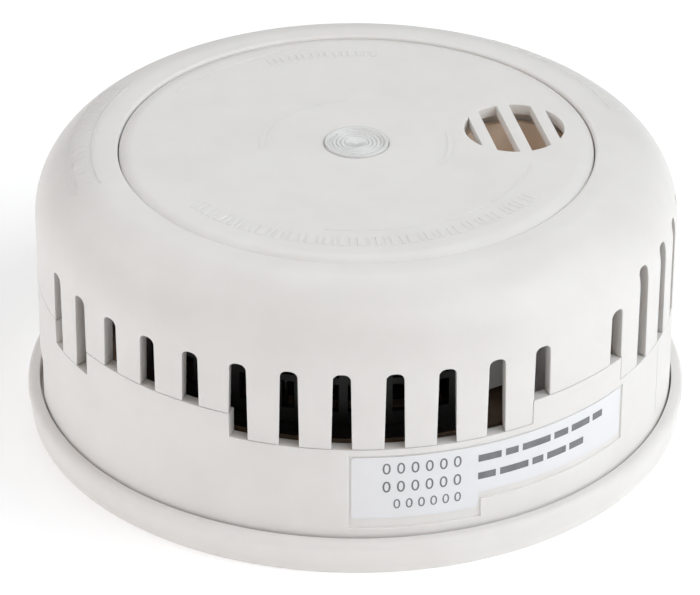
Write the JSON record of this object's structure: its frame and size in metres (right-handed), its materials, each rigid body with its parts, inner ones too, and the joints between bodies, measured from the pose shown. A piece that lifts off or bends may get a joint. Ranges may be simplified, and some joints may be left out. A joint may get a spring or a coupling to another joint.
{
  "type": "heat alarm",
  "caption": "Round battery heat alarm with a vented domed cover, a large central test button with sounder grille and lens, on a twist-off ceiling mounting plate.",
  "frame": {"origin": "centre of the mounting plate's flat ceiling face", "axes": "+Z points away from the ceiling, through the housing and the cover to the test button; +X runs along the line of the two screw slots"},
  "size_m": [0.115, 0.115, 0.0505],
  "materials": {
    "case_plastic": "satin moulded ABS, off-white",
    "clear_plastic": "clear moulded acrylic",
    "label_paper": "matt coated paper label",
    "steel": "bright plated steel",
    "brass": "bare rolled brass",
    "board_laminate": "tan paper-phenolic laminate",
    "battery_sleeve": "plain shrink sleeve",
    "foam_tape": "closed-cell foam tape",
    "horn_plastic": "beige moulded plastic",
    "soft_rubber": "soft silicone rubber",
    "ceramic": "fired ceramic",
    "wire_insulation": "thin PVC insulation",
    "black_plastic": "black moulded plastic",
    "red_plastic": "diffused red epoxy",
    "capacitor_sleeve": "dark printed sleeve"
  },
  "bodies": {
    "plate": {"mounting_plate": "case_plastic"},
    "head": {"rear_housing": "case_plastic", "front_cover": "case_plastic", "housing_screws": "steel", "date_label": "label_paper", "button_springs": "steel", "circuit_board": "board_laminate", "board_screws": "steel", "battery_cell": "battery_sleeve", "battery_tabs": "steel", "battery_pad": "foam_tape", "sounder_base": "horn_plastic", "piezo_gasket": "soft_rubber", "piezo_plate": "brass", "piezo_ceramic": "ceramic", "sounder_horn": "horn_plastic", "sounder_wires": "wire_insulation", "thermistor_guard": "black_plastic", "thermistor": "black_plastic", "thermistor_leads": "steel", "status_led": "red_plastic", "led_legs": "steel", "led_spacer": "case_plastic", "test_switch_body": "black_plastic", "power_switch_body": "steel", "microcontroller": "black_plastic", "electrolytic_capacitors": "capacitor_sleeve", "sounder_coil": "black_plastic", "transistors": "black_plastic", "chip_resistors": "ceramic", "service_header": "black_plastic"},
    "button": {"test_button": "case_plastic", "light_lens": "clear_plastic"},
    "switch_plunger": {"test_switch_plunger": "case_plastic"},
    "power_slider": {"power_switch_slider": "black_plastic"}
  },
  "joints": [
    {"name": "head_twist", "type": "hinge", "parent": "plate", "child": "head", "pos_m": [0, 0, 0], "axis": [0, 0, 1], "range_deg": [0, 15]},
    {"name": "button_press", "type": "slide", "parent": "head", "child": "button", "axis": [0, 0, -1], "range_m": [0, 0.001], "stiffness_N_per_m": 600, "springref_m": -0.003, "deforming": ["button_springs"]},
    {"name": "plunger_press", "type": "slide", "parent": "head", "child": "switch_plunger", "axis": [0, 0, -1], "range_m": [0, 0.001], "stiffness_N_per_m": 150, "springref_m": -0.002},
    {"name": "power_slide", "type": "slide", "parent": "head", "child": "power_slider", "axis": [1, 0, 0], "range_m": [0, 0.003]}
  ],
  "couplings": [
    {"joint": "plunger_press", "follows": "button_press", "ratio": 1}
  ]
}
